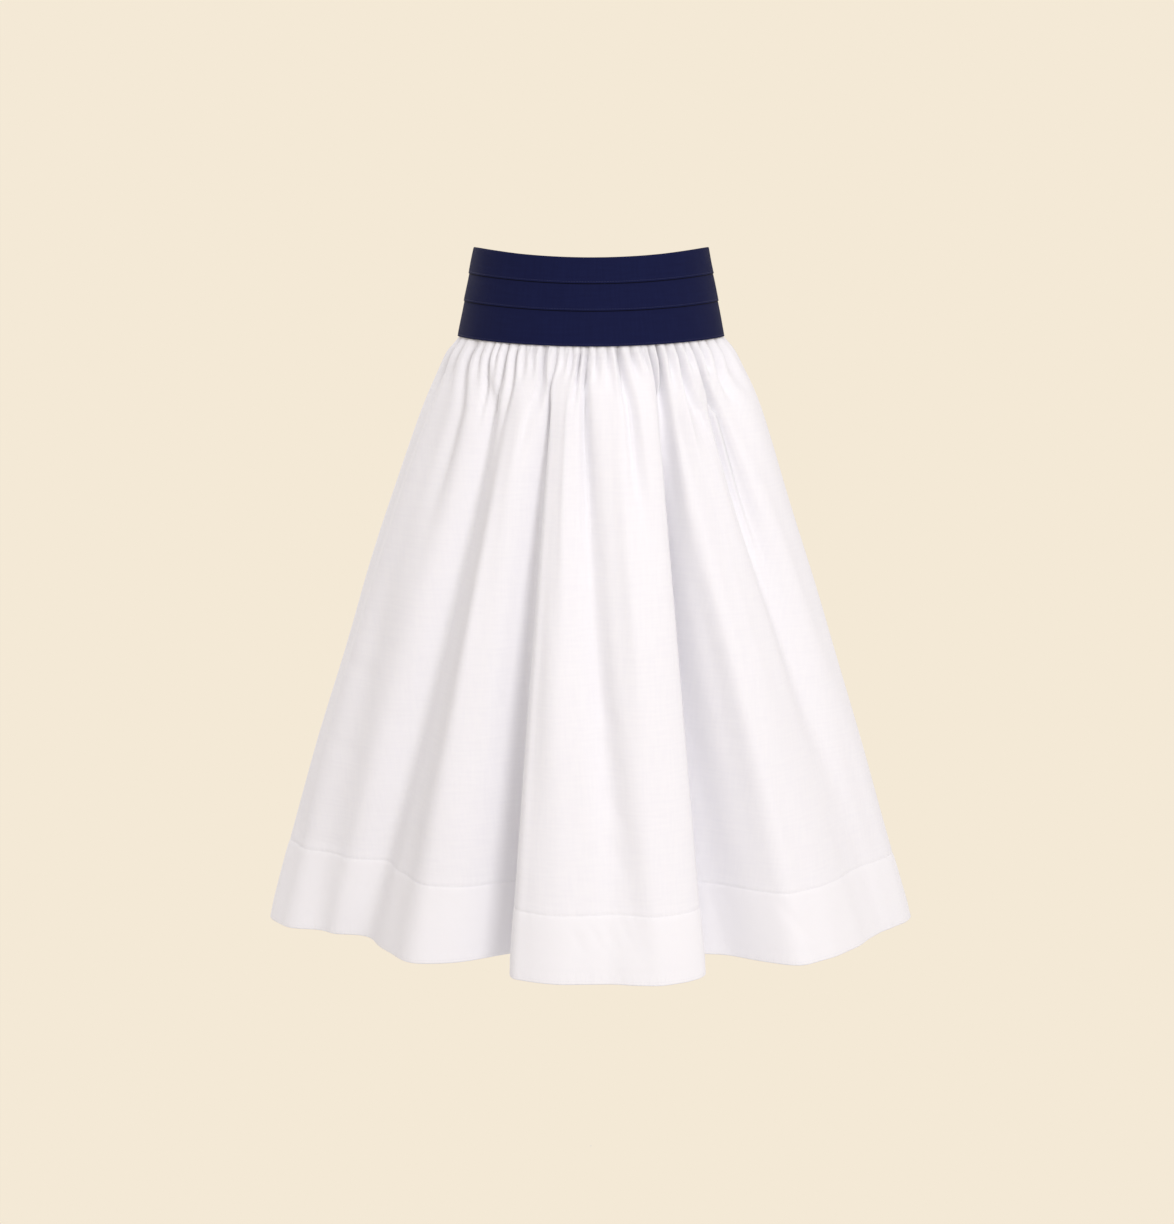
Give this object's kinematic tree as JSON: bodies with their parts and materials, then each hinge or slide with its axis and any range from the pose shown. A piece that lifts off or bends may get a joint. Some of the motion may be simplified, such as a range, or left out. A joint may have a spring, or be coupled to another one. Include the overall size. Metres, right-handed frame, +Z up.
{
  "type": "gathered midi skirt",
  "caption": "Gathered A-line skirt with a wide three-tier contoured waistband and a deep turned-up hem, worn shape, open at waist and hem, closed by a concealed back zip.",
  "frame": {"origin": "centre of the waist opening, halfway down the waistband, where the wearer's waist holds the skirt", "axes": "+Z up along the wearer, -Y towards the front of the skirt, +X towards the right as seen from the front (the wearer's left)"},
  "size_m": [0.777, 0.5038, 0.801],
  "materials": {
    "white_cotton": "matte plain-woven cotton, bright white with soft grey fold shadows",
    "navy_cotton": "matte firm navy woven cotton, tone-on-tone stitching",
    "zip_tape": "white woven polyester tape",
    "nickel": "satin nickel-plated zinc"
  },
  "bodies": {
    "garment": {"waistband_front_upper": "navy_cotton", "waistband_back_left_upper": "navy_cotton", "waistband_back_right_upper": "navy_cotton", "waistband_front_middle": "navy_cotton", "waistband_back_left_middle": "navy_cotton", "waistband_back_right_middle": "navy_cotton", "waistband_front_lower": "navy_cotton", "waistband_back_left_lower": "navy_cotton", "waistband_back_right_lower": "navy_cotton", "skirt_front": "white_cotton", "skirt_back_left": "white_cotton", "skirt_back_right": "white_cotton", "zip_tape_left": "zip_tape", "zip_tape_right": "zip_tape", "zip_slider": "nickel"},
    "pull": {"zip_pull": "nickel"}
  },
  "joints": [
    {"name": "pull_swing", "type": "hinge", "parent": "garment", "child": "pull", "pos_m": [0, 0.11166, 0.02896], "axis": [1, 0, 0], "range_deg": [0, 165]}
  ]
}
